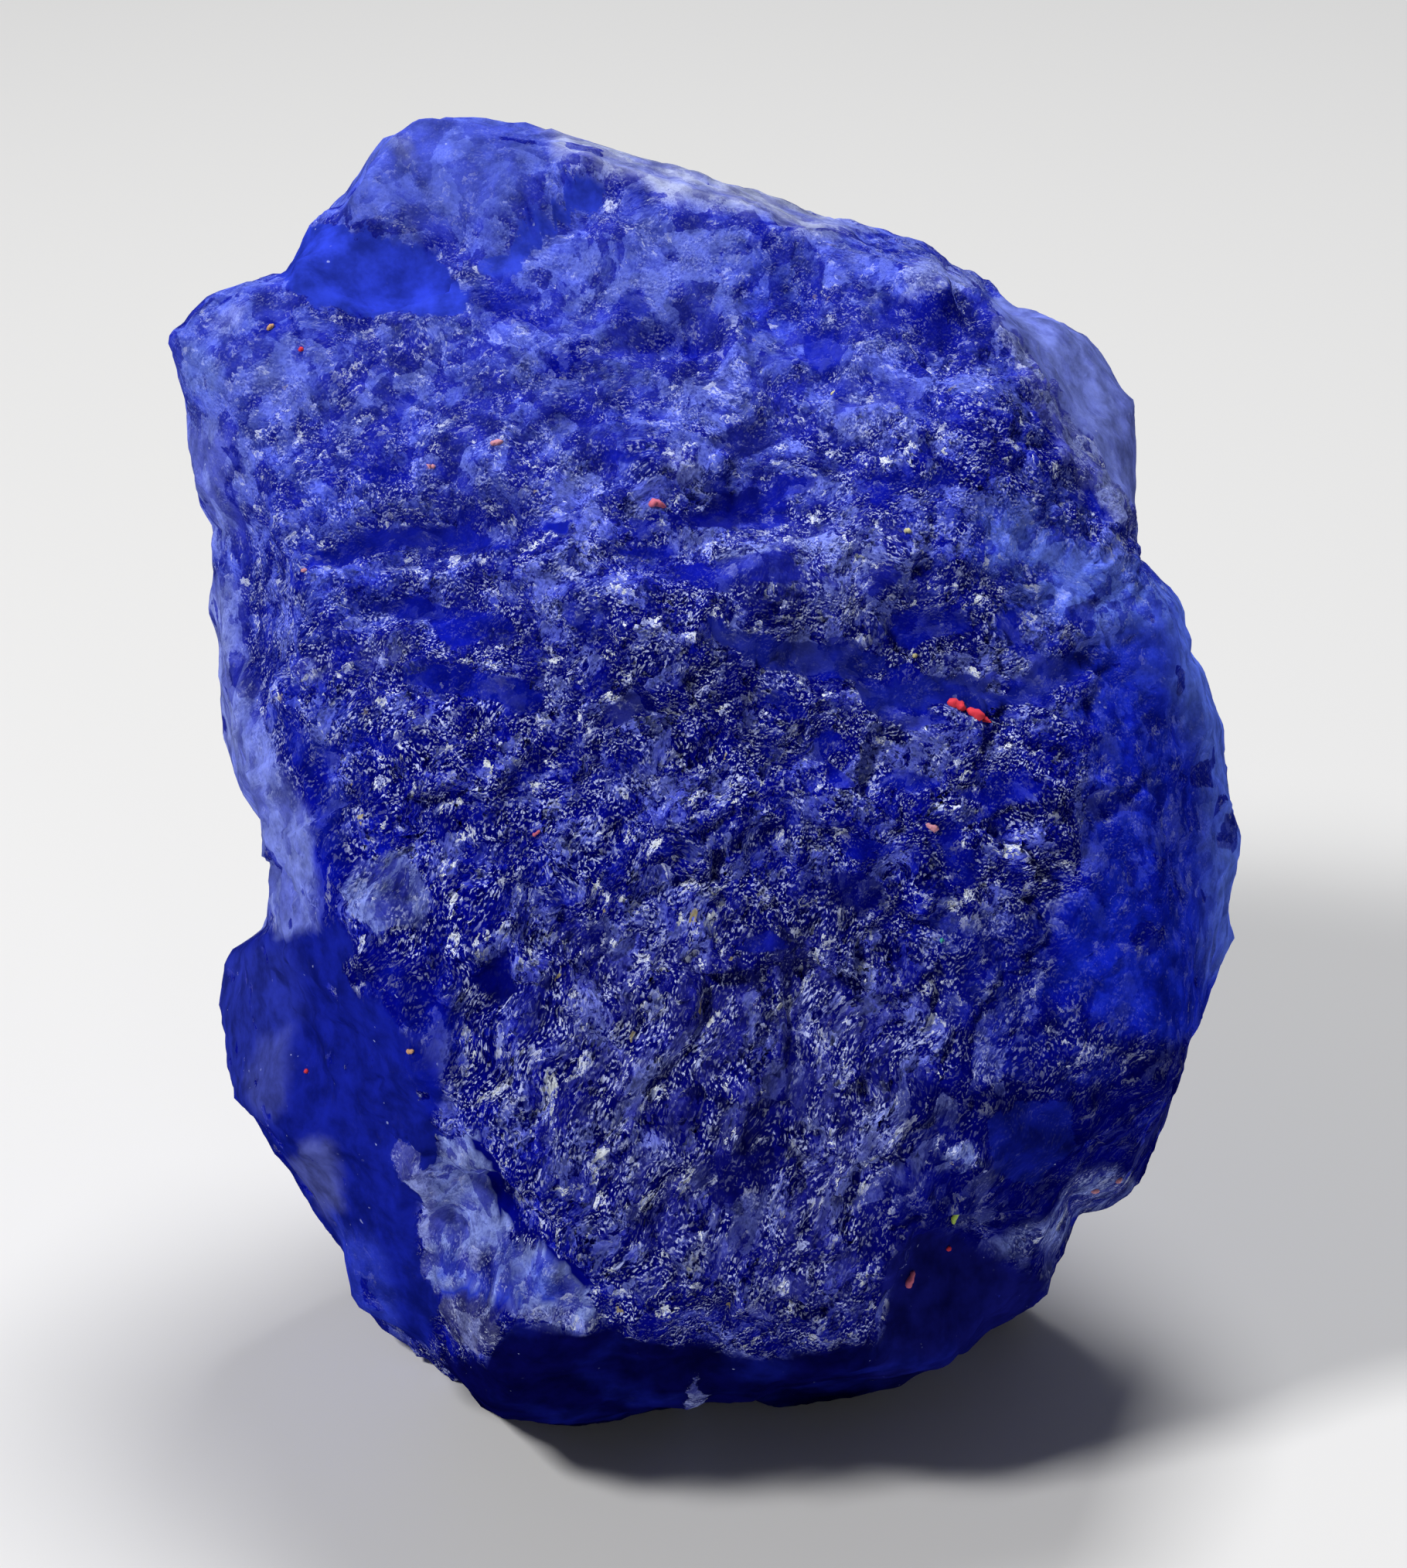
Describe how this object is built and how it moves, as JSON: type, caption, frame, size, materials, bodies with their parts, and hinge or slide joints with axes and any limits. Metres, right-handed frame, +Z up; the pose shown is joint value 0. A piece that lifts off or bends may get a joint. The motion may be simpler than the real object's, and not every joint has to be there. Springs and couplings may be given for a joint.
{
  "type": "rough sapphire",
  "caption": "Upright lump of rough granular blue stone with one broad broken face, chipped bevels round its rim and a worn underside it stands on.",
  "frame": {"origin": "bottom centre of the bounding box, on the ground that the stone stands on", "axes": "+Z up, the stone's longest way; the broad granular face looks towards -Y and a little upwards; +X to that face's right"},
  "size_m": [0.0594, 0.0482, 0.0694],
  "materials": {
    "sapphire": "rough broken stone, granular and glinting"
  },
  "bodies": {
    "root": {"sapphire": "sapphire"}
  },
  "joints": []
}
